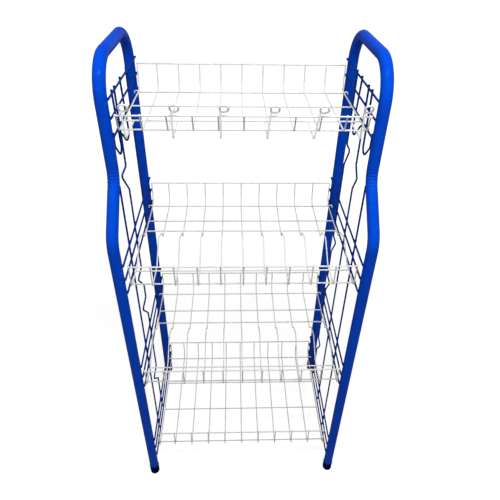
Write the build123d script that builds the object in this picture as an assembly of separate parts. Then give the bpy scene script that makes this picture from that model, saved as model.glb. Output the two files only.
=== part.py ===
from build123d import *

import math
import os
from dataclasses import dataclass

# A four-tier wire display rack: two bent-tube side frames stand side by side, and four
# wire baskets hang between them on short support wires welded across the inner faces.
# Millimetres, +Z up, +X to the right, the open front faces -Y, origin on the floor.
# "Forward" is always measured from the rear leg's axis towards the front.

# Side frames
AXIS_WIDTH = 427.0  # between the axes of the left and right tubes
TUBE = 20.0  # tube diameter
TUBE_WALL = 1.2
TUBE_SIDES = 16  # drawn with narrow flats, so that what is welded on meets face to face
TOP_AXIS = 951.5  # height of the top run's axis
UPPER_DEPTH = 237.0  # rear leg to upper front leg
LOWER_DEPTH = 313.0  # rear leg to lower front leg
STEP_TOP = 768.0  # height where the front leg starts to step forward
STEP_DROP = 78.0  # height lost over the step
TOP_BEND = 60.0  # bend radii on the tube's axis
STEP_BEND = 50.0

# Feet: moulded caps pushed on the tube ends
FOOT = 22.0  # outer diameter
FOOT_HEIGHT = 27.0
FOOT_SOLE = 4.0
FOOT_BEVEL = 2.5
FOOT_FIT = 0.05  # clearance around the tube

# Welded wire lattice of the side frames
WIRE = 3.5
WIRE_SIDES = 8  # drawn with flats, so that crossing wires meet face to face
TIER_COUNT = 4
TIER_PITCH = 255.0
LOW_SUPPORT = 840.5  # height of the top tier's lowest support wire
SUPPORT_PITCH = 29.0
SUPPORT_ROWS = 3
SUPPORT_TAIL = 3.0  # how far a support wire runs past the axis of a leg
WELD_STUB = 2.0  # length that an upright stands past the wire it is welded to

# Uprights of the lattice, behind the upper front leg; the two frames differ a little
REAR_UPRIGHT_INSET = 158.0
MIDDLE_UPRIGHT_INSET_LEFT = 57.0
MIDDLE_UPRIGHT_INSET_RIGHT = 72.0
FRONT_UPRIGHT_INSET = -5.0  # in front of the upper leg, under its step

# Loops: short uprights that swing down below the top tier and curl forward
REAR_LOOP_INSET_LEFT = 103.0
REAR_LOOP_INSET_RIGHT = 120.0
FRONT_LOOP_INSET_LEFT = 37.0
FRONT_LOOP_INSET_RIGHT = 48.0
LOOP_DROP = 48.0  # from the lowest support wire to the bottom of a loop
REAR_LOOP_LEAN = 14.0  # how far a loop leans back on its way down
FRONT_LOOP_LEAN_LEFT = 11.0
REAR_LOOP_FLAT_LEFT = 12.0  # straight stretch at the bottom of a loop
REAR_LOOP_REACH_LEFT = 37.0  # from the top of a rear loop to its free end
REAR_LOOP_REACH_RIGHT = 40.0
REAR_LOOP_RETURN_LEFT = 24.0  # from the lowest support wire down to the free end
REAR_LOOP_RETURN_RIGHT = 12.0
FRONT_LOOP_RETURN = 22.0  # the same down to where a front loop meets the leg
LOOP_BEND = 9.0

# Flags: kinks of the long uprights that carry signs or slat ends, each one given by the
# tier that it hangs under and its distance below that tier's lowest support wire
REAR_FLAG_REACH = 28.0
REAR_FLAG_DROP = 42.0
REAR_FLAGS = ((0, 82.0), (1, 44.0), (1, 159.0), (2, 115.0))
MIDDLE_FLAG_REACH = 40.0
MIDDLE_FLAG_DROP = 46.0
MIDDLE_FLAGS = ((0, 79.0), (1, 51.0), (1, 131.0), (2, 97.0))
KINK_BELOW = 102.0  # the right middle upright has one plain kink under the top tier instead
KINK_RISE = 18.0
KINK_FALL = 30.0
KINK_REACH = 19.0

# Baskets
BAR_WIRE = 2.8  # rim bars and the bars under the floor
MESH_WIRE = 2.4  # cross wires and end wires
MESH_SIDES = 6
BAR_LEVEL = 1.0  # axis of the bars under the floor, above the lowest support wire
CELLS_EACH_SIDE = 4
END_CELL_CUT = 3.5  # how much narrower the two end cells are than the others
SEAT = 0.3  # clearance between a basket and the wires that carry it
END_GAP = 2.3  # clearance between the end wires and the support wires beside them
BACK_RISE = 49.0  # back rim bar above the bars under the floor
HEEL_RISE = 14.0  # where the back wall starts to bend into the floor
HEEL_LEAN = 3.0
RIM_STUB = 1.0  # cross wire past the rim bar's axis
CLAW = 5.0  # drop of the claw that hooks behind the support wire
RIDGE_SHOULDER = 18.0  # the raised ridge: steep first step, then its crest
RIDGE_CREST = 29.0
RIDGE_FOOT = 22.0  # flat stretches before and after the ridge
RIDGE_LAND = 12.0
RIDGE_STEP = 15.0
RIDGE_RUN = 50.0

# Bars of each basket: rear ones are placed forward of the rear leg, and insets are measured
# back from the front leg of the tier, so that a negative one stands in front of that leg
TOP_BACK_BAR = 13.0
TOP_HEEL_BAR = 27.0
TOP_SECOND_BAR = 104.0
TOP_THIRD_BAR = 174.0
TOP_TOE_INSET = 24.0
TOP_TIP_INSET = 13.0
TOP_FRONT_INSET = -1.0
TOP_FRONT_RISE = 32.0
SECOND_BACK_BAR = 8.0
SECOND_HEEL_BAR = 26.0
SECOND_SECOND_BAR = 87.0
SECOND_THIRD_BAR = 125.0
SECOND_RIDGE_INSET = 57.0
SECOND_TOE_INSET = 20.0
SECOND_TIP_INSET = 10.0
SECOND_FRONT_INSET = 6.0
SECOND_FRONT_RISE = 49.0
THIRD_BACK_BAR = 10.0
THIRD_HEEL_BAR = 34.0
THIRD_SECOND_BAR = 95.0
THIRD_THIRD_BAR = 136.0
THIRD_RIDGE_INSET = 44.0
THIRD_TOE_INSET = 8.0
THIRD_TIP_INSET = -3.0
THIRD_FRONT_INSET = -5.0
THIRD_FRONT_RISE = 47.0
BOTTOM_BACK_BAR = 9.0
BOTTOM_HEEL_BAR = 25.0
BOTTOM_SECOND_BAR = 111.0
BOTTOM_THIRD_BAR = 193.0
BOTTOM_TOE_INSET = 29.0
BOTTOM_TIP_INSET = 18.0
BOTTOM_FRONT_INSET = 19.0
BOTTOM_FRONT_RISE = 49.0

# Hooks under the top basket
HOOK_COUNT = 6
HOOK_INSET = 12.75  # from the end wires to the outermost hooks
HOOK_WIRE = 3.0
HOOK_SIDES = 6
HOOK_EYE = 16.6  # outer diameter of the closed eye
EYE_CORNERS = 9  # bends of the eye, drawn as short straight runs
EYE_RISE = 46.5  # middle of the eye, above the lowest support wire
EYE_TILT = 25.0  # degrees that the eye nods forward
EYE_JOIN = 45.0  # degrees from the lowest point of the eye to where the stem meets it
HOOK_LEANS = (-3.0, 0.0, 1.5, 6.0, 8.0, 0.5)  # degrees, as the hooks got bent in use

SIDES = {"left": -1, "right": 1}
SUPPORT_X = AXIS_WIDTH / 2 - TUBE / 2 - WIRE / 2
UPRIGHT_X = SUPPORT_X + WIRE
UPRIGHT_CHORD = math.sqrt((TUBE / 2) ** 2 - ((TUBE - WIRE) / 2) ** 2)  # leg's axis to its face there
LEG_TOUCH = math.sqrt(((TUBE + WIRE) / 2) ** 2 - ((TUBE - WIRE) / 2) ** 2)  # to a wire laid against it
END_WIRE_X = SUPPORT_X - (WIRE + MESH_WIRE) / 2 - END_GAP
BASKET_HALF = END_WIRE_X + MESH_WIRE / 2
CELL = (END_WIRE_X + END_CELL_CUT) / (CELLS_EACH_SIDE + 1)  # spacing of the cross wires
LAP = (BAR_WIRE + MESH_WIRE) / 2  # between the axes of a cross wire and the bar it is welded to
BEARING_LIFT = (WIRE + BAR_WIRE) / 2 + SEAT  # a bearing bar's ends above the wires that carry them
HOOK_PITCH = 2 * (END_WIRE_X - HOOK_INSET) / (HOOK_COUNT - 1)


@dataclass
class Basket:
    """Places are forward of the rear leg; front_rise is above the bars under the floor."""

    name: str
    tier: int
    back_bar: float
    heel_bar: float
    middle_bars: tuple
    toe_bar: float
    tip: float
    front_bar: float
    front_rise: float
    ridge: bool = False


BASKETS = [
    Basket(
        name="top_basket",
        tier=0,
        back_bar=TOP_BACK_BAR,
        heel_bar=TOP_HEEL_BAR,
        middle_bars=(TOP_SECOND_BAR, TOP_THIRD_BAR),
        toe_bar=UPPER_DEPTH - TOP_TOE_INSET,
        tip=UPPER_DEPTH - TOP_TIP_INSET,
        front_bar=UPPER_DEPTH - TOP_FRONT_INSET,
        front_rise=TOP_FRONT_RISE,
    ),
    Basket(
        name="second_basket",
        tier=1,
        back_bar=SECOND_BACK_BAR,
        heel_bar=SECOND_HEEL_BAR,
        middle_bars=(SECOND_SECOND_BAR, SECOND_THIRD_BAR, LOWER_DEPTH - SECOND_RIDGE_INSET),
        toe_bar=LOWER_DEPTH - SECOND_TOE_INSET,
        tip=LOWER_DEPTH - SECOND_TIP_INSET,
        front_bar=LOWER_DEPTH - SECOND_FRONT_INSET,
        front_rise=SECOND_FRONT_RISE,
        ridge=True,
    ),
    Basket(
        name="third_basket",
        tier=2,
        back_bar=THIRD_BACK_BAR,
        heel_bar=THIRD_HEEL_BAR,
        middle_bars=(THIRD_SECOND_BAR, THIRD_THIRD_BAR, LOWER_DEPTH - THIRD_RIDGE_INSET),
        toe_bar=LOWER_DEPTH - THIRD_TOE_INSET,
        tip=LOWER_DEPTH - THIRD_TIP_INSET,
        front_bar=LOWER_DEPTH - THIRD_FRONT_INSET,
        front_rise=THIRD_FRONT_RISE,
        ridge=True,
    ),
    Basket(
        name="bottom_basket",
        tier=3,
        back_bar=BOTTOM_BACK_BAR,
        heel_bar=BOTTOM_HEEL_BAR,
        middle_bars=(BOTTOM_SECOND_BAR, BOTTOM_THIRD_BAR),
        toe_bar=LOWER_DEPTH - BOTTOM_TOE_INSET,
        tip=LOWER_DEPTH - BOTTOM_TIP_INSET,
        front_bar=LOWER_DEPTH - BOTTOM_FRONT_INSET,
        front_rise=BOTTOM_FRONT_RISE,
    ),
]


def at(x, forward, height):
    """A point from its sideways place, its distance forward and its height."""
    return Vector(x, LOWER_DEPTH / 2 - forward, height)


def tier_height(tier):
    """Height of the lowest support wire of a tier, counted down from the top one."""
    return LOW_SUPPORT - tier * TIER_PITCH


def bent_wire(points, across, diameter, sides=WIRE_SIDES):
    """A wire along straight runs with sharp bends; it has flats above and below the run."""
    path = Polyline(*points) if len(points) > 2 else Line(*points)
    plane = Plane(origin=path @ 0, x_dir=across, z_dir=path % 0)
    outline = RegularPolygon(diameter / 2, sides, major_radius=False, rotation=90 - 180 / sides)
    return sweep(plane * outline, path=path, transition=Transition.RIGHT)


def side_wire(points, x):
    """A wire of the lattice, in an upright plane parallel to the side frames."""
    return bent_wire([at(x, forward, height) for forward, height in points], (1, 0, 0), WIRE)


def mesh_wire(points, x):
    """A thinner wire of a basket, in an upright plane parallel to the side frames."""
    corners = [at(x, forward, height) for forward, height in points]
    return bent_wire(corners, (1, 0, 0), MESH_WIRE, MESH_SIDES)


def cross_bar(points, forward):
    """A bar of a basket, in an upright plane parallel to the front."""
    return bent_wire([at(x, forward, height) for x, height in points], (0, 1, 0), BAR_WIRE)


def save(shape, name):
    export_step(shape, f"parts/{name}.step")


# Side frames


def tube_outline(radius):
    """A circle drawn with flats that touch it from outside."""
    return RegularPolygon(radius, TUBE_SIDES, major_radius=False, rotation=180 / TUBE_SIDES)


def side_tube(side):
    """The bent tube: rear leg, top run, upper front leg, step and lower front leg."""
    x = side * AXIS_WIDTH / 2
    corners = [
        at(x, 0, FOOT_SOLE),
        at(x, 0, TOP_AXIS),
        at(x, UPPER_DEPTH, TOP_AXIS),
        at(x, UPPER_DEPTH, STEP_TOP),
        at(x, LOWER_DEPTH, STEP_TOP - STEP_DROP),
        at(x, LOWER_DEPTH, FOOT_SOLE),
    ]
    path = FilletPolyline(*corners, radius=[TOP_BEND, TOP_BEND, STEP_BEND, STEP_BEND])
    start = Plane(origin=path @ 0, x_dir=(1, 0, 0), z_dir=path % 0)
    wall = tube_outline(TUBE / 2) - tube_outline(TUBE / 2 - TUBE_WALL)
    return sweep(start * wall, path=path)


def foot(x, forward):
    """A cup with a bevelled sole around the end of a leg."""
    cup = extrude(tube_outline(FOOT / 2), FOOT_HEIGHT)
    cup = chamfer(cup.edges().group_by(Axis.Z)[0], FOOT_BEVEL)
    cup -= Pos(0, 0, FOOT_SOLE) * extrude(tube_outline(TUBE / 2 + FOOT_FIT), FOOT_HEIGHT)
    return Pos(*at(x, forward, 0)) * cup


def feet():
    places = [(side * AXIS_WIDTH / 2, depth) for side in SIDES.values() for depth in (0, LOWER_DEPTH)]
    return Compound([foot(x, forward) for x, forward in places])


def front_depth(tier):
    """Where the front leg stands behind the support wires of a tier."""
    return UPPER_DEPTH if tier == 0 else LOWER_DEPTH


def support_wires(side, tier):
    """The short wires across one side frame that carry a basket."""
    wires = []
    for row in range(SUPPORT_ROWS):
        height = tier_height(tier) + row * SUPPORT_PITCH
        ends = [(-SUPPORT_TAIL, height), (front_depth(tier) + SUPPORT_TAIL, height)]
        wires.append(side_wire(ends, side * SUPPORT_X))
    return Compound(wires)


def lattice_top():
    return tier_height(0) + (SUPPORT_ROWS - 1) * SUPPORT_PITCH + WELD_STUB


def lattice_bottom():
    return tier_height(TIER_COUNT - 1) - WELD_STUB


def straight_upright(side, forward):
    return side_wire([(forward, lattice_top()), (forward, lattice_bottom())], side * UPRIGHT_X)


def flagged_upright(side, forward, flags, reach, drop):
    """A long upright that kicks forward at each flag and slopes back."""
    points = [(forward, lattice_top())]
    for tier, below in flags:
        height = tier_height(tier) - below
        points += [(forward, height), (forward + reach, height), (forward, height - drop)]
    points.append((forward, lattice_bottom()))
    return side_wire(points, side * UPRIGHT_X)


def kinked_upright(side, forward):
    """A long upright with a single plain kink under the top tier."""
    height = tier_height(0) - KINK_BELOW
    points = [
        (forward, lattice_top()),
        (forward, height + KINK_RISE),
        (forward + KINK_REACH, height),
        (forward, height - KINK_FALL),
        (forward, lattice_bottom()),
    ]
    return side_wire(points, side * UPRIGHT_X)


def step_underside(forward):
    """Height of the underside of the front leg's upper step bend, in the uprights' plane."""
    turn = math.atan2(LOWER_DEPTH - UPPER_DEPTH, STEP_DROP)
    middle = STEP_TOP + STEP_BEND * math.tan(turn / 2)
    run = UPPER_DEPTH + STEP_BEND - forward
    return middle - math.sqrt((STEP_BEND + UPRIGHT_CHORD) ** 2 - run**2)


def front_upright(side):
    """A straight wire from under the step of the tube down to the bottom tier."""
    forward = UPPER_DEPTH - FRONT_UPRIGHT_INSET
    return side_wire([(forward, step_underside(forward)), (forward, lattice_bottom())], side * UPRIGHT_X)


def loop_wire(side, forward, lean, flat, ends):
    """An upright that swings down below the top tier and curls forward and up through its ends."""
    bottom = tier_height(0) - LOOP_DROP
    start = forward - lean
    corner = start + LOOP_BEND + flat
    points = [
        (forward, lattice_top()),
        (start, bottom + LOOP_BEND),
        (start + LOOP_BEND, bottom),
        (corner + LOOP_BEND, bottom + LOOP_BEND / 2),
    ]
    if flat > 0:
        points.insert(3, (corner, bottom))
    return side_wire(points + ends, side * UPRIGHT_X)


def make_long_uprights(side_name):
    side = SIDES[side_name]
    rear_place = UPPER_DEPTH - REAR_UPRIGHT_INSET
    if side_name == "left":
        rear = straight_upright(side, rear_place)
        place = UPPER_DEPTH - MIDDLE_UPRIGHT_INSET_LEFT
        middle = flagged_upright(side, place, MIDDLE_FLAGS, MIDDLE_FLAG_REACH, MIDDLE_FLAG_DROP)
    else:
        rear = flagged_upright(side, rear_place, REAR_FLAGS, REAR_FLAG_REACH, REAR_FLAG_DROP)
        middle = kinked_upright(side, UPPER_DEPTH - MIDDLE_UPRIGHT_INSET_RIGHT)
    save(rear, f"{side_name}_rear_upright")
    save(middle, f"{side_name}_middle_upright")
    save(front_upright(side), f"{side_name}_front_upright")


def make_loops(side_name):
    """The rear loop has a free end; the front one goes up the leg to the lowest support wire."""
    side = SIDES[side_name]
    low = tier_height(0)
    leg_back = UPPER_DEPTH - LEG_TOUCH
    front_ends = [(leg_back, low - FRONT_LOOP_RETURN), (leg_back, low + WELD_STUB)]
    if side_name == "left":
        rear_place = UPPER_DEPTH - REAR_LOOP_INSET_LEFT
        front_place = UPPER_DEPTH - FRONT_LOOP_INSET_LEFT
        rear_flat, front_lean = REAR_LOOP_FLAT_LEFT, FRONT_LOOP_LEAN_LEFT
        rear_end = (rear_place + REAR_LOOP_REACH_LEFT, low - REAR_LOOP_RETURN_LEFT)
    else:
        rear_place = UPPER_DEPTH - REAR_LOOP_INSET_RIGHT
        front_place = UPPER_DEPTH - FRONT_LOOP_INSET_RIGHT
        rear_flat, front_lean = 0, 0
        rear_end = (rear_place + REAR_LOOP_REACH_RIGHT, low - REAR_LOOP_RETURN_RIGHT)
    rear = loop_wire(side, rear_place, REAR_LOOP_LEAN, rear_flat, [rear_end])
    save(rear, f"{side_name}_rear_loop_wire")
    front = loop_wire(side, front_place, front_lean, 0, front_ends)
    save(front, f"{side_name}_front_loop_wire")


def make_side_frame(side_name):
    side = SIDES[side_name]
    save(side_tube(side), f"{side_name}_side_tube")
    for basket in BASKETS:
        tier_name = basket.name.replace("_basket", "")
        save(support_wires(side, basket.tier), f"{side_name}_{tier_name}_support_wires")
    make_long_uprights(side_name)
    make_loops(side_name)


# Baskets


def ridge_points(basket):
    """The raised ridge that runs along the floor of the middle baskets."""
    start = basket.middle_bars[1] + RIDGE_FOOT
    end = basket.middle_bars[2] - RIDGE_LAND
    return [
        (start, 0),
        (start + RIDGE_STEP, RIDGE_SHOULDER),
        (start + RIDGE_RUN, RIDGE_CREST),
        (end, 0),
    ]


def cross_wire_points(basket):
    """Back wall, floor and front lip of a cross wire, above the bars under the floor."""
    back = basket.back_bar + LAP
    front = basket.front_bar - LAP
    points = [
        (back, BACK_RISE + RIM_STUB - LAP),
        (back + HEEL_LEAN, HEEL_RISE),
        (basket.heel_bar - BAR_WIRE / 2, 0),
        (basket.tip, 0),
        (front, basket.front_rise + RIM_STUB - LAP),
    ]
    if basket.ridge:
        points[3:3] = ridge_points(basket)
    floor = tier_height(basket.tier) + BAR_LEVEL + LAP
    return [(forward, floor + height) for forward, height in points]


def cross_wires(basket):
    points = cross_wire_points(basket)
    steps = range(-CELLS_EACH_SIDE, CELLS_EACH_SIDE + 1)
    return Compound([mesh_wire(points, step * CELL) for step in steps])


def end_wires(basket):
    points = cross_wire_points(basket)
    return Compound([mesh_wire(points, side * END_WIRE_X) for side in SIDES.values()])


def straight_bar(basket, forward, rise):
    height = tier_height(basket.tier) + BAR_LEVEL + rise
    return cross_bar([(-BASKET_HALF, height), (BASKET_HALF, height)], forward)


def rim_bars(basket):
    back = straight_bar(basket, basket.back_bar, BACK_RISE)
    front = straight_bar(basket, basket.front_bar, basket.front_rise)
    return Compound([back, front])


def floor_bars(basket):
    return Compound([straight_bar(basket, forward, 0) for forward in basket.middle_bars])


def bearing_bar(basket, forward, claw):
    """A bar whose raised ends lie on the support wires, with a claw behind them or none."""
    low = tier_height(basket.tier) + BAR_LEVEL
    high = tier_height(basket.tier) + BEARING_LIFT
    right = [(END_WIRE_X - MESH_WIRE / 2, low), (SUPPORT_X - WIRE / 2, high)]
    if claw:
        outside = SUPPORT_X + BEARING_LIFT
        right += [(outside, high), (outside, high - CLAW)]
    else:
        right += [(SUPPORT_X + WIRE / 2 - SEAT, high)]
    left = [(-x, height) for x, height in reversed(right)]
    return cross_bar(left + right, forward)


def bearing_bars(basket):
    heel = bearing_bar(basket, basket.heel_bar, claw=True)
    toe = bearing_bar(basket, basket.toe_bar, claw=False)
    return Compound([heel, toe])


def make_basket(basket):
    save(cross_wires(basket), f"{basket.name}_cross_wires")
    save(end_wires(basket), f"{basket.name}_end_wires")
    save(rim_bars(basket), f"{basket.name}_rim_bars")
    save(floor_bars(basket), f"{basket.name}_floor_bars")
    save(bearing_bars(basket), f"{basket.name}_bearing_bars")


# Hooks


def eye_points(join, radius):
    """Up from where the stem meets the eye, over its top, round and back to beside the stem."""
    tilt = math.radians(EYE_TILT)
    start = math.radians(EYE_JOIN)
    points = []
    for step in range(EYE_CORNERS):
        turn = start + math.tau * (step + 0.5) / EYE_CORNERS
        aside = radius * (math.sin(start) - math.sin(turn))
        rise = radius * (math.cos(start) - math.cos(turn))
        points.append(join + (aside, -rise * math.sin(tilt), rise * math.cos(tilt)))
    return points


def hook(basket, x, lean):
    """A wire under the floor that turns up in front of the rim and ends in a closed eye."""
    low = tier_height(basket.tier) + BAR_LEVEL - (BAR_WIRE + HOOK_WIRE) / 2
    stem = basket.front_bar + (BAR_WIRE + HOOK_WIRE) / 2 + SEAT
    eye_radius = (HOOK_EYE - HOOK_WIRE) / 2
    join_drop = eye_radius * math.cos(math.radians(EYE_JOIN)) * math.cos(math.radians(EYE_TILT))
    points = [
        (basket.middle_bars[-1] - BAR_WIRE / 2, low),
        (stem - HOOK_WIRE / 2, low),
        (stem, low + HOOK_WIRE),
        (stem, tier_height(basket.tier) + EYE_RISE - join_drop),
    ]
    corners = [at(x, forward, height) for forward, height in points]
    corners += eye_points(corners[-1], eye_radius)
    wire = bent_wire(corners, (1, 0, 0), HOOK_WIRE, HOOK_SIDES)
    return wire.rotate(Axis(corners[2], (0, 1, 0)), lean)


def make_hooks():
    for number in range(HOOK_COUNT):
        x = (number - (HOOK_COUNT - 1) / 2) * HOOK_PITCH
        save(hook(BASKETS[0], x, HOOK_LEANS[number]), f"hook_{number + 1}")


os.makedirs("parts", exist_ok=True)
for frame_side in SIDES:
    make_side_frame(frame_side)
save(feet(), "feet")
for wire_basket in BASKETS:
    make_basket(wire_basket)
make_hooks()
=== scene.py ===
"""The look of a four-tier wire display rack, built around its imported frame, in metres.

Forward is measured from the rear legs' axis towards the open front, which faces -Y.
"""

import math

import bmesh
import bpy
from mathutils import Matrix, Vector


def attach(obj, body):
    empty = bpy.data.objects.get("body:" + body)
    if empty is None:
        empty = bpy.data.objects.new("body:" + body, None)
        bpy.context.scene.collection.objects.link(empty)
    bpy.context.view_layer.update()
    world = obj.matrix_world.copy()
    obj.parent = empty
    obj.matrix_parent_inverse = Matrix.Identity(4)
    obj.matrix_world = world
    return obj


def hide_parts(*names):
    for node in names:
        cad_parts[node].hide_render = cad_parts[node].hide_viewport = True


MM = 0.001

# ---------------------------------------------------------------- sizes of the side frames
AXIS_WIDTH = 427 * MM
TUBE_RADIUS = 10 * MM
TOP_AXIS = 951.5 * MM
UPPER_DEPTH = 237 * MM
LOWER_DEPTH = 313 * MM
STEP_TOP = 768 * MM
STEP_DROP = 78 * MM
TOP_BEND = 60 * MM
STEP_BEND = 50 * MM
FOOT_RADIUS = 11 * MM
FOOT_HEIGHT = 27 * MM
FOOT_SOLE = 4 * MM

WIRE = 3.5 * MM
TIER_PITCH = 255 * MM
LOW_SUPPORT = 840.5 * MM
SUPPORT_PITCH = 29 * MM
SUPPORT_ROWS = 3
SUPPORT_TAIL = 3 * MM
WELD_STUB = 2 * MM

REAR_UPRIGHT = UPPER_DEPTH - 158 * MM
MIDDLE_UPRIGHT = {"left": UPPER_DEPTH - 57 * MM, "right": UPPER_DEPTH - 72 * MM}
FRONT_UPRIGHT = UPPER_DEPTH + 5 * MM
REAR_LOOP = {"left": UPPER_DEPTH - 103 * MM, "right": UPPER_DEPTH - 120 * MM}
FRONT_LOOP = {"left": UPPER_DEPTH - 37 * MM, "right": UPPER_DEPTH - 48 * MM}
LOOP_DROP = 48 * MM
REAR_LOOP_LEAN = 14 * MM
REAR_LOOP_FLAT = {"left": 12 * MM, "right": 0.0}
REAR_LOOP_REACH = {"left": 37 * MM, "right": 40 * MM}
REAR_LOOP_RETURN = {"left": 24 * MM, "right": 12 * MM}
FRONT_LOOP_LEAN = {"left": 11 * MM, "right": 0.0}
FRONT_LOOP_RETURN = 22 * MM
LOOP_BEND = 9 * MM
REAR_FLAG = (28 * MM, 42 * MM)  # reach and drop
MIDDLE_FLAG = (40 * MM, 46 * MM)
REAR_FLAGS = ((0, 82 * MM), (1, 44 * MM), (1, 159 * MM), (2, 115 * MM))  # tier, distance below
MIDDLE_FLAGS = ((0, 79 * MM), (1, 51 * MM), (1, 131 * MM), (2, 97 * MM))
KINK_DROP = 102 * MM
KINK_RISE = 18 * MM
KINK_FALL = 30 * MM
KINK_REACH = 19 * MM
FLAG_BEND = 4 * MM

# ---------------------------------------------------------------- sizes of the baskets
BAR_WIRE = 2.8 * MM
MESH_WIRE = 2.4 * MM
LAP = (BAR_WIRE + MESH_WIRE) / 2
BAR_LEVEL = 1 * MM
CELLS_EACH_SIDE = 4
END_CELL_CUT = 3.5 * MM
SEAT = 0.3 * MM
END_GAP = 2.3 * MM
BACK_RISE = 49 * MM
HEEL_RISE = 14 * MM
HEEL_LEAN = 3 * MM
RIM_STUB = 1 * MM
CLAW = 5 * MM
RIDGE_SHOULDER = 18 * MM
RIDGE_CREST = 29 * MM
RIDGE_FOOT = 22 * MM
RIDGE_LAND = 12 * MM
RIDGE_STEP = 15 * MM
RIDGE_RUN = 50 * MM
BASKET_BEND = 5 * MM
BAR_BEND = 2.5 * MM

HOOK_COUNT = 6
HOOK_INSET = 12.75 * MM
HOOK_RADIUS = 1.5 * MM
EYE_RADIUS = 6.8 * MM
EYE_RISE = 46.5 * MM
EYE_TILT = math.radians(25)
EYE_JOIN = math.radians(45)
EYE_POINTS = 26
EYE_GAP = math.radians(22)
HOOK_BEND = 4 * MM
HOOK_LEANS = (-3.0, 0.0, 1.5, 6.0, 8.0, 0.5)  # degrees, from the left hook to the right one

SUPPORT_X = AXIS_WIDTH / 2 - TUBE_RADIUS - WIRE / 2
UPRIGHT_X = SUPPORT_X + WIRE
UPRIGHT_CHORD = math.sqrt(TUBE_RADIUS**2 - (TUBE_RADIUS - WIRE / 2) ** 2)
LEG_TOUCH = math.sqrt((TUBE_RADIUS + WIRE / 2) ** 2 - (TUBE_RADIUS - WIRE / 2) ** 2)
END_WIRE_X = SUPPORT_X - (WIRE + MESH_WIRE) / 2 - END_GAP
CELL = (END_WIRE_X + END_CELL_CUT) / (CELLS_EACH_SIDE + 1)
HOOK_PITCH = 2 * (END_WIRE_X - HOOK_INSET) / (HOOK_COUNT - 1)
SIDES = {"left": -1, "right": 1}

# Millimetres: bars and corners forward of the rear legs, and the rise of the front rim bar.
BASKETS = {
    "top_basket": dict(
        tier=0, back=13, heel=27, middle=(104, 174), toe=213, tip=224, front=238,
        rise=32, ridge=False,
    ),
    "second_basket": dict(
        tier=1, back=8, heel=26, middle=(87, 125, 256), toe=293, tip=303, front=307,
        rise=49, ridge=True,
    ),
    "third_basket": dict(
        tier=2, back=10, heel=34, middle=(95, 136, 269), toe=305, tip=316, front=318,
        rise=47, ridge=True,
    ),
    "bottom_basket": dict(
        tier=3, back=9, heel=25, middle=(111, 193), toe=284, tip=295, front=294,
        rise=49, ridge=False,
    ),
}


def at(x, forward, height):
    """A point from its sideways place, its distance forward and its height."""
    return Vector((x, LOWER_DEPTH / 2 - forward, height))


def tier_height(tier):
    return LOW_SUPPORT - tier * TIER_PITCH


def in_metres(basket):
    """The same basket with its places in metres."""
    scaled = dict(basket)
    for key in ("back", "heel", "toe", "tip", "front", "rise"):
        scaled[key] = basket[key] * MM
    scaled["middle"] = [place * MM for place in basket["middle"]]
    return scaled


# ---------------------------------------------------------------- materials
PATCH_SCALE = 20.0
PEEL_SCALE = 220.0
SCUFF_SCALE = 120.0
PATCH_DETAIL = 3.0
PEEL_DETAIL = 1.0
SCUFF_DETAIL = 4.0
SCUFF_START = 0.62  # noise value where a scuff begins
SCUFF_FULL = 0.74
PEEL_DEPTH = 0.3 * MM
ROUGHNESS_BELOW = 0.06  # how far the roughness drifts from its stated value
ROUGHNESS_ABOVE = 0.12
COAT_ROUGHNESS = 0.05
FIRST_COLOUR, SECOND_COLOUR, MIXED_COLOUR = 6, 7, 2  # colour sockets of a Mix node


def socket(node, name):
    return node.inputs[name]


def link(tree, output, target):
    tree.links.new(output, target)


def paint_texture_group():
    """Sprayed paint: soft colour patches, fine orange peel, and scuffs where it has rubbed."""
    group = bpy.data.node_groups.new("sprayed_paint", "ShaderNodeTree")
    face = group.interface
    scales = {"Patch scale": PATCH_SCALE, "Peel scale": PEEL_SCALE, "Scuff scale": SCUFF_SCALE}
    for name, value in scales.items():
        face.new_socket(name, in_out="INPUT", socket_type="NodeSocketFloat").default_value = value
    for name in ("Patches", "Scuffs", "Height"):
        face.new_socket(name, in_out="OUTPUT", socket_type="NodeSocketFloat")
    nodes = group.nodes
    given = nodes.new("NodeGroupInput")
    made = nodes.new("NodeGroupOutput")
    place = nodes.new("ShaderNodeTexCoord")

    def noise(scale, detail):
        texture = nodes.new("ShaderNodeTexNoise")
        socket(texture, "Detail").default_value = detail
        link(group, place.outputs["Object"], socket(texture, "Vector"))
        link(group, given.outputs[scale], socket(texture, "Scale"))
        return texture

    link(group, noise("Patch scale", PATCH_DETAIL).outputs["Fac"], socket(made, "Patches"))
    link(group, noise("Peel scale", PEEL_DETAIL).outputs["Fac"], socket(made, "Height"))
    worn = nodes.new("ShaderNodeMapRange")
    socket(worn, "From Min").default_value = SCUFF_START
    socket(worn, "From Max").default_value = SCUFF_FULL
    link(group, noise("Scuff scale", SCUFF_DETAIL).outputs["Fac"], socket(worn, "Value"))
    link(group, worn.outputs["Result"], socket(made, "Scuffs"))
    return group


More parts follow.
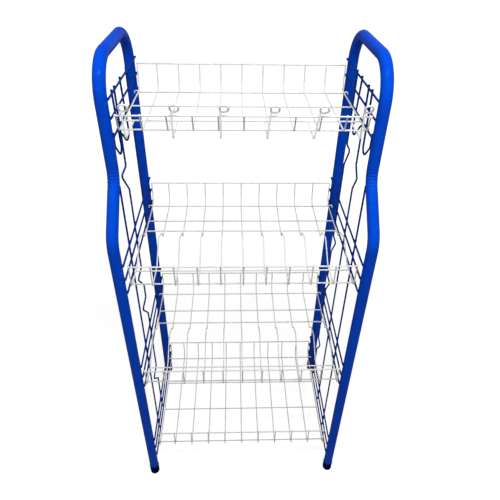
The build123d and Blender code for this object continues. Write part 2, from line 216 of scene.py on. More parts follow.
def painted(name, group, dark, light, scuffed, roughness, peel, gloss, coat):
    """A sprayed finish whose colour drifts from dark to light, with scuffs."""
    material = bpy.data.materials.new(name)
    material.use_nodes = True
    tree = material.node_tree
    shader = tree.nodes["Principled BSDF"]
    paint = tree.nodes.new("ShaderNodeGroup")
    paint.node_tree = group

    def blend(factor, first, second):
        mix = tree.nodes.new("ShaderNodeMix")
        mix.data_type = "RGBA"
        link(tree, factor, mix.inputs["Factor"])
        for value, index in ((first, FIRST_COLOUR), (second, SECOND_COLOUR)):
            if isinstance(value, tuple):
                mix.inputs[index].default_value = (*value, 1)
            else:
                link(tree, value, mix.inputs[index])
        return mix.outputs[MIXED_COLOUR]

    coat_colour = blend(paint.outputs["Patches"], dark, light)
    colour = blend(paint.outputs["Scuffs"], coat_colour, scuffed)
    link(tree, colour, socket(shader, "Base Color"))
    rough = tree.nodes.new("ShaderNodeMapRange")
    socket(rough, "To Min").default_value = roughness - ROUGHNESS_BELOW
    socket(rough, "To Max").default_value = roughness + ROUGHNESS_ABOVE
    link(tree, paint.outputs["Patches"], socket(rough, "Value"))
    link(tree, rough.outputs["Result"], socket(shader, "Roughness"))
    bump = tree.nodes.new("ShaderNodeBump")
    socket(bump, "Strength").default_value = peel
    socket(bump, "Distance").default_value = PEEL_DEPTH
    link(tree, paint.outputs["Height"], socket(bump, "Height"))
    link(tree, bump.outputs["Normal"], socket(shader, "Normal"))
    socket(shader, "Specular IOR Level").default_value = gloss
    socket(shader, "Coat Weight").default_value = coat
    socket(shader, "Coat Roughness").default_value = COAT_ROUGHNESS
    return material


def make_materials():
    group = paint_texture_group()
    return {
        "tube_blue": painted(
            "blue_gloss_enamel", group, (0.0001, 0.044, 0.54), (0.0002, 0.090, 0.77),
            (0.0008, 0.114, 0.79), roughness=0.34, peel=0.12, gloss=0.0, coat=0.055,
        ),
        "wire_blue": painted(
            "blue_wire_enamel", group, (0.0004, 0.018, 0.19), (0.0008, 0.047, 0.39),
            (0.003, 0.060, 0.42), roughness=0.36, peel=0.2, gloss=0.0, coat=0.05,
        ),
        "wire_white": painted(
            "white_wire_enamel", group, (0.77, 0.77, 0.75), (0.86, 0.86, 0.84),
            (0.64, 0.64, 0.62), roughness=0.38, peel=0.25, gloss=0.5, coat=0.1,
        ),
        "hook_white": painted(
            "grey_white_hook_enamel", group, (0.88, 0.88, 0.87), (0.94, 0.94, 0.93),
            (0.78, 0.78, 0.76), roughness=0.36, peel=0.25, gloss=0.5, coat=0.1,
        ),
        "foot_plastic": painted(
            "dark_moulded_plastic", group, (0.0002, 0.002, 0.060), (0.0004, 0.005, 0.110),
            (0.002, 0.010, 0.120), roughness=0.5, peel=0.3, gloss=0.0, coat=0.0,
        ),
    }


# ---------------------------------------------------------------- node trees that make the wires
BEND_POINTS = 6
WIRE_SEGMENTS = 14
BEAD_SUBDIVISIONS = 2
SMOOTH_ANGLE = math.radians(50)


def new_geometry_tree(name, inputs):
    tree = bpy.data.node_groups.new(name, "GeometryNodeTree")
    face = tree.interface
    face.new_socket("Geometry", in_out="INPUT", socket_type="NodeSocketGeometry")
    for label, kind in inputs:
        face.new_socket(label, in_out="INPUT", socket_type=kind)
    face.new_socket("Geometry", in_out="OUTPUT", socket_type="NodeSocketGeometry")
    return tree, tree.nodes.new("NodeGroupInput"), tree.nodes.new("NodeGroupOutput")


def copies_in_a_row(tree, given, instance):
    """Copies of one shape along a straight row."""
    row = tree.nodes.new("GeometryNodeMeshLine")
    row.mode = "OFFSET"
    link(tree, given.outputs["Copies"], socket(row, "Count"))
    link(tree, given.outputs["Step"], socket(row, "Offset"))
    spread = tree.nodes.new("GeometryNodeInstanceOnPoints")
    link(tree, row.outputs["Mesh"], socket(spread, "Points"))
    link(tree, instance, socket(spread, "Instance"))
    return spread.outputs["Instances"]


def finish_tree(tree, given, made, instances):
    """Makes the instances real and gives them their material."""
    real = tree.nodes.new("GeometryNodeRealizeInstances")
    link(tree, instances, real.inputs[0])
    coated = tree.nodes.new("GeometryNodeSetMaterial")
    link(tree, real.outputs[0], socket(coated, "Geometry"))
    link(tree, given.outputs["Material"], socket(coated, "Material"))
    link(tree, coated.outputs[0], made.inputs[0])


def bent_wire_tree():
    """Round wire along a line of edges, with rounded bends, repeated in a row."""
    tree, given, made = new_geometry_tree(
        "bent_wire",
        [
            ("Wire radius", "NodeSocketFloat"),
            ("Bend radius", "NodeSocketFloat"),
            ("Copies", "NodeSocketInt"),
            ("Step", "NodeSocketVector"),
            ("Material", "NodeSocketMaterial"),
        ],
    )
    line = tree.nodes.new("GeometryNodeMeshToCurve")
    link(tree, given.outputs["Geometry"], line.inputs[0])
    rounded = tree.nodes.new("GeometryNodeFilletCurve")
    rounded.mode = "POLY"
    socket(rounded, "Count").default_value = BEND_POINTS
    socket(rounded, "Limit Radius").default_value = True
    link(tree, line.outputs[0], socket(rounded, "Curve"))
    link(tree, given.outputs["Bend radius"], socket(rounded, "Radius"))
    section = tree.nodes.new("GeometryNodeCurvePrimitiveCircle")
    socket(section, "Resolution").default_value = WIRE_SEGMENTS
    link(tree, given.outputs["Wire radius"], socket(section, "Radius"))
    swept = tree.nodes.new("GeometryNodeCurveToMesh")
    socket(swept, "Fill Caps").default_value = True
    link(tree, rounded.outputs[0], socket(swept, "Curve"))
    link(tree, section.outputs["Curve"], socket(swept, "Profile Curve"))
    finish_tree(tree, given, made, copies_in_a_row(tree, given, swept.outputs[0]))
    return tree


def weld_tree():
    """A small flattened bead of weld under paint at every given point."""
    tree, given, made = new_geometry_tree(
        "painted_welds",
        [("Bead size", "NodeSocketVector"), ("Material", "NodeSocketMaterial")],
    )
    bead = tree.nodes.new("GeometryNodeMeshIcoSphere")
    socket(bead, "Radius").default_value = 1.0
    socket(bead, "Subdivisions").default_value = BEAD_SUBDIVISIONS
    spread = tree.nodes.new("GeometryNodeInstanceOnPoints")
    link(tree, given.outputs["Geometry"], socket(spread, "Points"))
    link(tree, bead.outputs["Mesh"], socket(spread, "Instance"))
    link(tree, given.outputs["Bead size"], socket(spread, "Scale"))
    finish_tree(tree, given, made, spread.outputs["Instances"])
    return tree


def grow(name, mesh, tree, values):
    """Runs a node tree on a carrier mesh and keeps the plain result."""
    carrier = bpy.data.objects.new(name + "_carrier", mesh)
    bpy.context.scene.collection.objects.link(carrier)
    modifier = carrier.modifiers.new("maker", "NODES")
    modifier.node_group = tree
    for item in tree.interface.items_tree:
        if item.in_out == "INPUT" and item.name in values:
            modifier[item.identifier] = values[item.name]
    carrier.update_tag()
    depsgraph = bpy.context.evaluated_depsgraph_get()
    result = bpy.data.meshes.new_from_object(carrier.evaluated_get(depsgraph))
    bpy.data.objects.remove(carrier)
    return add_piece(name, result)


def add_piece(name, mesh):
    mesh.shade_smooth()
    mesh.set_sharp_from_angle(angle=SMOOTH_ANGLE)
    mesh.name = name
    piece = bpy.data.objects.new(name, mesh)
    bpy.context.scene.collection.objects.link(piece)
    return piece


def lines_mesh(lines):
    """A mesh of edges only, one open chain for each line."""
    points, edges = [], []
    for line in lines:
        first = len(points)
        points += [tuple(point) for point in line]
        edges += [(first + step, first + step + 1) for step in range(len(line) - 1)]
    mesh = bpy.data.meshes.new("lines")
    mesh.from_pydata(points, edges, [])
    return mesh


class Workshop:
    """Makes pieces and hangs each one on its body."""

    def __init__(self):
        self.materials = make_materials()
        self.wire_tree = bent_wire_tree()
        self.weld_tree = weld_tree()

    def wire(self, name, lines, body, slot, node, bend, diameter=WIRE, row=None):
        copies, step = row or (1, (0, 0, 0))
        values = {
            "Wire radius": diameter / 2,
            "Bend radius": bend,
            "Copies": copies,
            "Step": step,
            "Material": self.materials[slot],
        }
        piece = grow(name, lines_mesh(lines), self.wire_tree, values)
        self.hang(piece, body, slot, node)

    def welds(self, name, points, body, slot, size):
        mesh = bpy.data.meshes.new("weld_points")
        mesh.from_pydata([tuple(point) for point in points], [], [])
        values = {"Bead size": size, "Material": self.materials[slot]}
        piece = grow(name, mesh, self.weld_tree, values)
        self.hang(piece, body, slot)

    def hang(self, piece, body, slot, node=None):
        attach(piece, body)
        if node:
            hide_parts(node)


# ---------------------------------------------------------------- side tubes
TUBE_SEGMENTS = 40
ARC_STEP = 0.8 * MM
FEWEST_ARC_STEPS = 4
TUBE_BENDS = (TOP_BEND, TOP_BEND, STEP_BEND, STEP_BEND)  # from the rear leg to the front foot
WRINKLE_DEPTH = (0.5 * MM, 0.4 * MM, 1.2 * MM, 0.8 * MM)  # one for each bend
WRINKLE_TURN = (90, 90, 45, 45)  # degrees of each bend that the wrinkles are counted over
WRINKLE_PITCH = 6.5 * MM
WRINKLE_FADE = 0.7  # how softly the wrinkles start and end along the bend
WRINKLE_WRAP = 0.8  # how far they reach round the tube


def rounded_path(corners, radii, arc_step):
    """Points along runs and arcs: place, tangent, centre of the arc or None, and share of it."""
    path = [(corners[0], (corners[1] - corners[0]).normalized(), None, 0.0)]
    for before, corner, after, radius in zip(corners, corners[1:], corners[2:], radii):
        into = (corner - before).normalized()
        out = (after - corner).normalized()
        turn = into.angle(out)
        cut = radius * math.tan(turn / 2)
        start = corner - into * cut
        side = (out - into * into.dot(out)).normalized()
        centre = start + side * radius
        steps = max(FEWEST_ARC_STEPS, round(radius * turn / arc_step))
        for step in range(steps + 1):
            angle = turn * step / steps
            point = centre - side * radius * math.cos(angle) + into * radius * math.sin(angle)
            tangent = into * math.cos(angle) + side * math.sin(angle)
            path.append((point, tangent, centre, step / steps))
    path.append((corners[-1], (corners[-1] - corners[-2]).normalized(), None, 0.0))
    return path


def side_tube_corners(side):
    x = side * AXIS_WIDTH / 2
    return [
        at(x, 0, FOOT_SOLE),
        at(x, 0, TOP_AXIS),
        at(x, UPPER_DEPTH, TOP_AXIS),
        at(x, UPPER_DEPTH, STEP_TOP),
        at(x, LOWER_DEPTH, STEP_TOP - STEP_DROP),
        at(x, LOWER_DEPTH, FOOT_SOLE),
    ]


def wrinkle(depth, share, turn_length, towards_centre):
    """How far the inside of a bend is pressed in by the wrinkles of cold bending."""
    fade = math.sin(math.pi * share) ** WRINKLE_FADE
    wave = 0.5 - 0.5 * math.cos(math.tau * share * turn_length / WRINKLE_PITCH)
    return depth * fade * wave * max(0.0, towards_centre) ** WRINKLE_WRAP


def side_tube_mesh(side):
    path = rounded_path(side_tube_corners(side), TUBE_BENDS, ARC_STEP)
    across = Vector((1, 0, 0))
    mesh = bmesh.new()
    rings = []
    bend = -1
    last_centre = None
    for point, tangent, centre, share in path:
        if centre is not None and (last_centre is None or (centre - last_centre).length > MM):
            bend += 1
            last_centre = centre
        upward = across.cross(tangent).normalized()
        ring = []
        for step in range(TUBE_SEGMENTS):
            angle = math.tau * step / TUBE_SEGMENTS
            outward = across * math.cos(angle) + upward * math.sin(angle)
            radius = TUBE_RADIUS
            if centre is not None:
                inner = outward.dot((centre - point).normalized())
                length = (centre - point).length * math.radians(WRINKLE_TURN[bend])
                radius -= wrinkle(WRINKLE_DEPTH[bend], share, length, inner)
            ring.append(mesh.verts.new(point + outward * radius))
        rings.append(ring)
    for low, high in zip(rings, rings[1:]):
        for step in range(TUBE_SEGMENTS):
            after = (step + 1) % TUBE_SEGMENTS
            mesh.faces.new((low[step], low[after], high[after], high[step]))
    mesh.faces.new(reversed(rings[0]))
    mesh.faces.new(rings[-1])
    bmesh.ops.recalc_face_normals(mesh, faces=mesh.faces)
    made = bpy.data.meshes.new("side_tube")
    mesh.to_mesh(made)
    mesh.free()
    return made


# ---------------------------------------------------------------- feet
FOOT_SEGMENTS = 40
SOLE_ROUNDING = 3.5 * MM
SOLE_STEPS = 6
SOLE_INSET = 1.5 * MM  # flat edge of the sole, inside its rounding
FOOT_TAPER = 0.5 * MM  # how much the cup is drawn in above the rounding
LIP_HEIGHT = 2.4 * MM
LIP_SLOPE = 0.6 * MM
LIP_STEP = 0.35 * MM
RIM_DROP = 0.7 * MM
RIM_INSET = 0.5 * MM
MOUTH_FIT = 0.1 * MM
MOUTH_DEPTH = 3 * MM


def foot_profile():
    """Radius and height from the middle of the sole up to the rim and down to the tube."""
    profile = [(0.0, 0.0), (FOOT_RADIUS - SOLE_ROUNDING - SOLE_INSET, 0.0)]
    for step in range(SOLE_STEPS + 1):
        angle = math.radians(90 * step / SOLE_STEPS)
        radius = FOOT_RADIUS - FOOT_TAPER - SOLE_ROUNDING * (1 - math.sin(angle))
        profile.append((radius, SOLE_ROUNDING * (1 - math.cos(angle))))
    profile += [
        (FOOT_RADIUS - LIP_STEP, FOOT_HEIGHT - LIP_HEIGHT - LIP_SLOPE),
        (FOOT_RADIUS, FOOT_HEIGHT - LIP_HEIGHT),
        (FOOT_RADIUS, FOOT_HEIGHT - RIM_DROP),
        (FOOT_RADIUS - RIM_INSET, FOOT_HEIGHT),
        (TUBE_RADIUS + MOUTH_FIT, FOOT_HEIGHT),
        (TUBE_RADIUS + MOUTH_FIT, FOOT_HEIGHT - MOUTH_DEPTH),
    ]
    return profile


def feet_mesh():
    mesh = bmesh.new()
    for side in SIDES.values():
        for forward in (0, LOWER_DEPTH):
            middle = at(side * AXIS_WIDTH / 2, forward, 0)
            rings = []
            for radius, height in foot_profile():
                if radius == 0:
                    rings.append([mesh.verts.new(middle + Vector((0, 0, height)))])
                    continue
                ring = []
                for step in range(FOOT_SEGMENTS):
                    angle = math.tau * step / FOOT_SEGMENTS
                    spot = Vector((radius * math.cos(angle), radius * math.sin(angle), height))
                    ring.append(mesh.verts.new(middle + spot))
                rings.append(ring)
            for step in range(FOOT_SEGMENTS):
                after = (step + 1) % FOOT_SEGMENTS
                mesh.faces.new((rings[0][0], rings[1][after], rings[1][step]))
                for low, high in zip(rings[1:], rings[2:]):
                    mesh.faces.new((low[step], low[after], high[after], high[step]))
            mesh.faces.new(rings[-1])
    bmesh.ops.recalc_face_normals(mesh, faces=mesh.faces)
    made = bpy.data.meshes.new("feet")
    mesh.to_mesh(made)
    mesh.free()
    return made


# ---------------------------------------------------------------- lattice of the side frames
LATTICE_BEAD = (1.0 * MM, 2.4 * MM, 2.4 * MM)


def side_line(points, x):
    return [at(x, forward, height) for forward, height in points]


def lattice_top():
    return tier_height(0) + (SUPPORT_ROWS - 1) * SUPPORT_PITCH + WELD_STUB


def lattice_bottom():
    return tier_height(len(BASKETS) - 1) - WELD_STUB


def straight_line(forward):
    return [(forward, lattice_top()), (forward, lattice_bottom())]


def flagged_line(forward, flags, flag):
    reach, drop = flag
    points = [(forward, lattice_top())]
    for tier, below in flags:
        height = tier_height(tier) - below
        points += [(forward, height), (forward + reach, height), (forward, height - drop)]
    return points + [(forward, lattice_bottom())]


def kinked_line(forward):
    height = tier_height(0) - KINK_DROP
    return [
        (forward, lattice_top()),
        (forward, height + KINK_RISE),
        (forward + KINK_REACH, height),
        (forward, height - KINK_FALL),
        (forward, lattice_bottom()),
    ]


def front_line():
    """The front upright, from the underside of the tube's upper step bend down."""
    turn = math.atan2(LOWER_DEPTH - UPPER_DEPTH, STEP_DROP)
    middle = STEP_TOP + STEP_BEND * math.tan(turn / 2)
    run = UPPER_DEPTH + STEP_BEND - FRONT_UPRIGHT
    top = middle - math.sqrt((STEP_BEND + UPRIGHT_CHORD) ** 2 - run**2)
    return [(FRONT_UPRIGHT, top), (FRONT_UPRIGHT, lattice_bottom())]


def loop_line(forward, lean, flat, ends):
    """Down from the top tier, round at the bottom and forward and up through its ends."""
    bottom = tier_height(0) - LOOP_DROP
    start = forward - lean
    corner = start + LOOP_BEND + flat
    points = [(forward, lattice_top()), (start, bottom + LOOP_BEND), (start + LOOP_BEND, bottom)]
    if flat > 0:
        points.append((corner, bottom))
    return points + [(corner + LOOP_BEND, bottom + LOOP_BEND / 2), *ends]


def loop_lines(name):
    """The rear loop has a free end; the front one goes up the leg to the lowest support wire."""
    low = tier_height(0)
    rear_end = (REAR_LOOP[name] + REAR_LOOP_REACH[name], low - REAR_LOOP_RETURN[name])
    leg_back = UPPER_DEPTH - LEG_TOUCH
    front_ends = [(leg_back, low - FRONT_LOOP_RETURN), (leg_back, low + WELD_STUB)]
    return {
        "rear_loop_wire": loop_line(
            REAR_LOOP[name], REAR_LOOP_LEAN, REAR_LOOP_FLAT[name], [rear_end]
        ),
        "front_loop_wire": loop_line(FRONT_LOOP[name], FRONT_LOOP_LEAN[name], 0.0, front_ends),
    }


def front_depth(tier):
    return UPPER_DEPTH if tier == 0 else LOWER_DEPTH


def make_side_frame(shop, name, side):
    body, blue = "side_frames", "wire_blue"
    tube = add_piece(f"{name}_side_tube_bent", side_tube_mesh(side))
    tube.data.materials.append(shop.materials["tube_blue"])
    shop.hang(tube, body, "tube_blue", f"{name}_side_tube")
    for basket_name, basket in BASKETS.items():
        tier = basket["tier"]
        node = f"{name}_{basket_name.replace('_basket', '')}_support_wires"
        ends = (-SUPPORT_TAIL, front_depth(tier) + SUPPORT_TAIL)
        line = side_line([(end, tier_height(tier)) for end in ends], side * SUPPORT_X)
        row = (SUPPORT_ROWS, (0, 0, SUPPORT_PITCH))
        shop.wire(node + "_round", [line], body, blue, node, FLAG_BEND, row=row)
    middle = MIDDLE_UPRIGHT[name]
    lines = {"front_upright": front_line(), **loop_lines(name)}
    if name == "left":
        lines["rear_upright"] = straight_line(REAR_UPRIGHT)
        lines["middle_upright"] = flagged_line(middle, MIDDLE_FLAGS, MIDDLE_FLAG)
    else:
        lines["rear_upright"] = flagged_line(REAR_UPRIGHT, REAR_FLAGS, REAR_FLAG)
        lines["middle_upright"] = kinked_line(middle)
    for part, points in lines.items():
        node = f"{name}_{part}"
        bend = LOOP_BEND if "loop" in part else FLAG_BEND
        line = side_line(points, side * UPRIGHT_X)
        shop.wire(node + "_round", [line], body, blue, node, bend)
    make_lattice_welds(shop, name, side)


def make_lattice_welds(shop, name, side):
    """Beads where uprights cross support wires, and where support wires meet the legs."""
    points = []
    for basket in BASKETS.values():
        tier = basket["tier"]
        crossings = [REAR_UPRIGHT, MIDDLE_UPRIGHT[name]]
        crossings += [REAR_LOOP[name], FRONT_LOOP[name]] if tier == 0 else [FRONT_UPRIGHT]
        for row in range(SUPPORT_ROWS):
            height = tier_height(tier) + row * SUPPORT_PITCH
            for forward in crossings:
                points.append(at(side * (SUPPORT_X + WIRE / 2), forward, height))
            for forward in (0, front_depth(tier)):
                points.append(at(side * (SUPPORT_X + WIRE / 2), forward, height))
    shop.welds(f"{name}_lattice_welds", points, "side_frames", "wire_blue", LATTICE_BEAD)


# ---------------------------------------------------------------- baskets
BASKET_BEAD = (1.5 * MM, 1.5 * MM, 0.7 * MM)


def cross_wire_line(basket):
    back = basket["back"] + LAP
    front = basket["front"] - LAP
    points = [
        (back, BACK_RISE + RIM_STUB - LAP),
        (back + HEEL_LEAN, HEEL_RISE),
        (basket["heel"] - BAR_WIRE / 2, 0),
        (basket["tip"], 0),
        (front, basket["rise"] + RIM_STUB - LAP),
    ]
    if basket["ridge"]:
        start = basket["middle"][1] + RIDGE_FOOT
        end = basket["middle"][2] - RIDGE_LAND
        points[3:3] = [
            (start, 0),
            (start + RIDGE_STEP, RIDGE_SHOULDER),
            (start + RIDGE_RUN, RIDGE_CREST),
            (end, 0),
        ]
    floor = tier_height(basket["tier"]) + BAR_LEVEL + LAP
    return [(forward, floor + height) for forward, height in points]


def straight_bar(basket, forward, rise):
    height = tier_height(basket["tier"]) + BAR_LEVEL + rise
    reach = END_WIRE_X + MESH_WIRE / 2
    return [at(-reach, forward, height), at(reach, forward, height)]


def bearing_bar(basket, forward, claw):
    low = tier_height(basket["tier"]) + BAR_LEVEL
    lift = (WIRE + BAR_WIRE) / 2 + SEAT
    high = tier_height(basket["tier"]) + lift
    right = [(END_WIRE_X - MESH_WIRE / 2, low), (SUPPORT_X - WIRE / 2, high)]
    if claw:
        outside = SUPPORT_X + lift
        right += [(outside, high), (outside, high - CLAW)]
    else:
        right += [(SUPPORT_X + WIRE / 2 - SEAT, high)]
    places = [(-x, height) for x, height in reversed(right)] + right
    return [at(x, forward, height) for x, height in places]


def basket_weld_points(basket):
    """Where the cross wires and end wires lie on the bars under the floor and on the rims."""
    columns = [step * CELL for step in range(-CELLS_EACH_SIDE, CELLS_EACH_SIDE + 1)]
    columns += [side * END_WIRE_X for side in SIDES.values()]
    low = tier_height(basket["tier"]) + BAR_LEVEL
    bars = [*basket["middle"], basket["toe"]]
    touch = BAR_WIRE / 2
    points = [at(x, forward, low + touch) for x in columns for forward in bars]
    points += [at(x, basket["back"] + touch, low + BACK_RISE) for x in columns]
    points += [at(x, basket["front"] - touch, low + basket["rise"]) for x in columns]
    return points


def make_basket(shop, name, basket):
    white = "wire_white"
    profile = cross_wire_line(basket)
    first = side_line(profile, -CELLS_EACH_SIDE * CELL)
    row = (2 * CELLS_EACH_SIDE + 1, (CELL, 0, 0))
    node = f"{name}_cross_wires"
    shop.wire(node + "_round", [first], name, white, node, BASKET_BEND, MESH_WIRE, row=row)
    ends = [side_line(profile, side * END_WIRE_X) for side in SIDES.values()]
    node = f"{name}_end_wires"
    shop.wire(node + "_round", ends, name, white, node, BASKET_BEND, MESH_WIRE)
    rims = [
        straight_bar(basket, basket["back"], BACK_RISE),
        straight_bar(basket, basket["front"], basket["rise"]),
    ]
    node = f"{name}_rim_bars"
    shop.wire(node + "_round", rims, name, white, node, BAR_BEND, BAR_WIRE)
    bars = [straight_bar(basket, forward, 0) for forward in basket["middle"]]
    node = f"{name}_floor_bars"
    shop.wire(node + "_round", bars, name, white, node, BAR_BEND, BAR_WIRE)
    bearing = [bearing_bar(basket, basket["heel"], True), bearing_bar(basket, basket["toe"], False)]
    node = f"{name}_bearing_bars"
    shop.wire(node + "_round", bearing, name, white, node, BAR_BEND, BAR_WIRE)
    shop.welds(f"{name}_welds", basket_weld_points(basket), name, white, BASKET_BEAD)


# ---------------------------------------------------------------- hooks
def hook_line(basket, x, lean):
    """The bent stem and the closed eye of one hook, leaning sideways about its lowest bend."""
    low = tier_height(basket["tier"]) + BAR_LEVEL - BAR_WIRE / 2 - HOOK_RADIUS
    stem = basket["front"] + BAR_WIRE / 2 + HOOK_RADIUS + SEAT
    join_drop = EYE_RADIUS * math.cos(EYE_JOIN) * math.cos(EYE_TILT)
    line = [
        (basket["middle"][-1] - BAR_WIRE / 2, low),
        (stem - HOOK_RADIUS, low),
        (stem, low + 2 * HOOK_RADIUS),
        (stem, tier_height(basket["tier"]) + EYE_RISE - join_drop),
    ]
    points = side_line(line, x)
    pivot, join = points[2], points[-1]
    for step in range(EYE_POINTS):
        turn = EYE_JOIN + (math.tau - EYE_GAP) * (step + 1) / EYE_POINTS
        aside = EYE_RADIUS * (math.sin(EYE_JOIN) - math.sin(turn))
        rise = EYE_RADIUS * (math.cos(EYE_JOIN) - math.cos(turn))
        points.append(join + Vector((aside, -rise * math.sin(EYE_TILT), rise * math.cos(EYE_TILT))))
    turned = Matrix.Translation(pivot) @ Matrix.Rotation(math.radians(lean), 4, "Y")
    turned = turned @ Matrix.Translation(-pivot)
    return [turned @ point for point in points]


def make_hooks(shop, basket):
    for number in range(HOOK_COUNT):
        x = (number - (HOOK_COUNT - 1) / 2) * HOOK_PITCH
        line = hook_line(basket, x, HOOK_LEANS[number])
        node = f"hook_{number + 1}"
        shop.wire(
            node + "_round", [line], "top_basket", "hook_white", node, HOOK_BEND,
            diameter=2 * HOOK_RADIUS,
        )


# ---------------------------------------------------------------- floor, light and camera
FLOOR_REACH = 6.0
FLOOR_SHADE = (0.42, 0.42, 0.42, 1)
FLOOR_ROUGHNESS = 0.9
FLOOR_GLOW = {"From Min": 0.6, "From Max": 1.8, "To Min": 0.8, "To Max": 1.0}  # by distance
WHITE = (1, 1, 1)
WARM_WHITE = (1.0, 0.99, 0.93)
ROOM_LIGHT = 0.14

# Name, place, the point it faces, edge, watts and colour of each square lamp.
LAMPS = (
    ("left_key", (-0.15, -0.66, 2.02), (0, -0.05, 0.6), 0.25, 5.9, WARM_WHITE),
    ("middle_key", (0.2, -0.68, 1.95), (0, -0.05, 0.6), 0.25, 5.7, WARM_WHITE),
    ("right_key", (0.5, -0.6, 2.08), (0, -0.05, 0.6), 0.25, 5.7, WARM_WHITE),
    ("ceiling_spot", (0, -0.12, 2.1), (0, -0.05, 0.6), 0.06, 0.8, WHITE),
    ("left_spot", (-0.78, -0.53, 1.53), (0, -0.05, 0.7), 0.05, 1.6, WHITE),
    ("right_spot", (0.34, -0.61, 1.24), (0, -0.05, 0.7), 0.05, 0.7, WHITE),
    ("front_fill", (-0.3, -1.7, 1.1), (0, 0, 0.6), 1.2, 2.4, WHITE),
    ("back_lamp", (0.6, 1.7, 0.9), (0, 0, 0.5), 1.0, 3.5, WHITE),
)

FOCAL_PIXELS = 471.8
FRAME_PIXELS = 500
SENSOR = 36.0  # millimetres
CAMERA_PLACE = (-17 * MM, -782.5 * MM, 1135.5 * MM)
CAMERA_DOWN = math.radians(36.29)
CAMERA_YAW = math.radians(-2.44)
CAMERA_ROLL = math.radians(1.20)


def seen_or_mirrored(tree):
    """1 for what the camera sees directly or through a reflection or glass, else 0."""
    rays = tree.nodes.new("ShaderNodeLightPath")
    result = rays.outputs["Is Camera Ray"]
    for name in ("Is Glossy Ray", "Is Transmission Ray"):
        either = tree.nodes.new("ShaderNodeMath")
        either.operation = "MAXIMUM"
        link(tree, result, either.inputs[0])
        link(tree, rays.outputs[name], either.inputs[1])
        result = either.outputs[0]
    return result


def pale_floor():
    """A pale floor that keeps a soft shadow near the rack and fades to white further out."""
    mesh = bpy.data.meshes.new("floor")
    signs = ((-1, -1), (1, -1), (1, 1), (-1, 1))
    corners = [(x * FLOOR_REACH, y * FLOOR_REACH, 0) for x, y in signs]
    mesh.from_pydata(corners, [], [(0, 1, 2, 3)])
    floor = bpy.data.objects.new("floor", mesh)
    bpy.context.scene.collection.objects.link(floor)
    material = bpy.data.materials.new("pale_floor")
    material.use_nodes = True
    tree = material.node_tree
    shader = tree.nodes["Principled BSDF"]
    socket(shader, "Base Color").default_value = FLOOR_SHADE
    socket(shader, "Roughness").default_value = FLOOR_ROUGHNESS
    socket(shader, "Specular IOR Level").default_value = 0.0
    place = tree.nodes.new("ShaderNodeTexCoord")
    distance = tree.nodes.new("ShaderNodeVectorMath")
    distance.operation = "LENGTH"
    link(tree, place.outputs["Object"], distance.inputs[0])
    fade = tree.nodes.new("ShaderNodeMapRange")
    for name, value in FLOOR_GLOW.items():
        socket(fade, name).default_value = value
    link(tree, distance.outputs["Value"], socket(fade, "Value"))
    strength = tree.nodes.new("ShaderNodeMath")
    strength.operation = "MULTIPLY"
    link(tree, fade.outputs["Result"], strength.inputs[0])
    link(tree, seen_or_mirrored(tree), strength.inputs[1])
    glow = tree.nodes.new("ShaderNodeEmission")
    link(tree, strength.outputs[0], socket(glow, "Strength"))
    both = tree.nodes.new("ShaderNodeAddShader")
    link(tree, shader.outputs["BSDF"], both.inputs[0])
    link(tree, glow.outputs["Emission"], both.inputs[1])
    link(tree, both.outputs[0], tree.nodes["Material Output"].inputs["Surface"])
    mesh.materials.append(material)


def white_world():
    """Soft light from all round, and plain white where the camera or a reflection sees it."""
    world = bpy.data.worlds.new("white_room")
    bpy.context.scene.world = world
    world.use_nodes = True
    tree = world.node_tree
    room = tree.nodes["Background"]
    socket(room, "Color").default_value = (*WHITE, 1)
    socket(room, "Strength").default_value = ROOM_LIGHT
    seen = tree.nodes.new("ShaderNodeBackground")
    socket(seen, "Color").default_value = (*WHITE, 1)
    mix = tree.nodes.new("ShaderNodeMixShader")
    link(tree, seen_or_mirrored(tree), socket(mix, "Fac"))
    link(tree, room.outputs[0], mix.inputs[1])
    link(tree, seen.outputs[0], mix.inputs[2])
    link(tree, mix.outputs[0], tree.nodes["World Output"].inputs["Surface"])


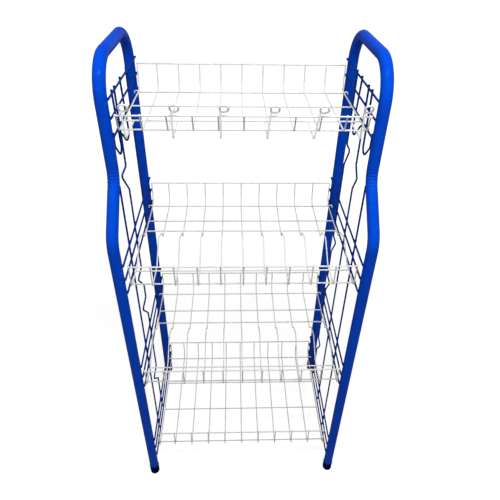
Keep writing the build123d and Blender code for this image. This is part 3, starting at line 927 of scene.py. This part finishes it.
def soft_lamp(name, place, target, edge, watts, colour):
    lamp = bpy.data.lights.new(name, "AREA")
    lamp.color = colour
    lamp.shape = "RECTANGLE"
    lamp.size = lamp.size_y = edge
    lamp.energy = watts
    holder = bpy.data.objects.new(name, lamp)
    bpy.context.scene.collection.objects.link(holder)
    place = Vector(place)
    holder.matrix_world = Matrix.Translation(place) @ (
        (Vector(target) - place).to_track_quat("-Z", "Y").to_matrix().to_4x4()
    )


def make_camera():
    data = bpy.data.cameras.new("camera")
    data.sensor_width = SENSOR
    data.lens = FOCAL_PIXELS / FRAME_PIXELS * SENSOR
    camera = bpy.data.objects.new("camera", data)
    bpy.context.scene.collection.objects.link(camera)
    level = math.cos(CAMERA_DOWN)
    right = Vector((math.cos(CAMERA_YAW), math.sin(CAMERA_YAW), 0))
    ahead = Vector(
        (-math.sin(CAMERA_YAW) * level, math.cos(CAMERA_YAW) * level, -math.sin(CAMERA_DOWN))
    )
    upward = right.cross(ahead)
    rolled_right = right * math.cos(CAMERA_ROLL) + upward * math.sin(CAMERA_ROLL)
    rolled_up = upward * math.cos(CAMERA_ROLL) - right * math.sin(CAMERA_ROLL)
    turn = Matrix((rolled_right, rolled_up, -ahead)).transposed().to_4x4()
    camera.matrix_world = Matrix.Translation(CAMERA_PLACE) @ turn
    bpy.context.scene.camera = camera


# ---------------------------------------------------------------- the whole rack
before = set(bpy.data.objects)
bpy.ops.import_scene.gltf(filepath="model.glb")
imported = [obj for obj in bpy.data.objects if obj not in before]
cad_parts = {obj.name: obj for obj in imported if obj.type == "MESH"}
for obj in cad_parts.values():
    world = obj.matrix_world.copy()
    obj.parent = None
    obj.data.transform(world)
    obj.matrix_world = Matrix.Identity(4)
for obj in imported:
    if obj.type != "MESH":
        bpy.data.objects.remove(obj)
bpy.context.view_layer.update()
bpy.context.scene.view_settings.view_transform = "Standard"

make_camera()
workshop = Workshop()
for side_name, side_sign in SIDES.items():
    make_side_frame(workshop, side_name, side_sign)
feet = add_piece("moulded_feet", feet_mesh())
feet.data.materials.append(workshop.materials["foot_plastic"])
workshop.hang(feet, "side_frames", "foot_plastic", "feet")
for basket_name, basket_sizes in BASKETS.items():
    make_basket(workshop, basket_name, in_metres(basket_sizes))
make_hooks(workshop, in_metres(BASKETS["top_basket"]))
pale_floor()
white_world()
for lamp_words in LAMPS:
    soft_lamp(*lamp_words)
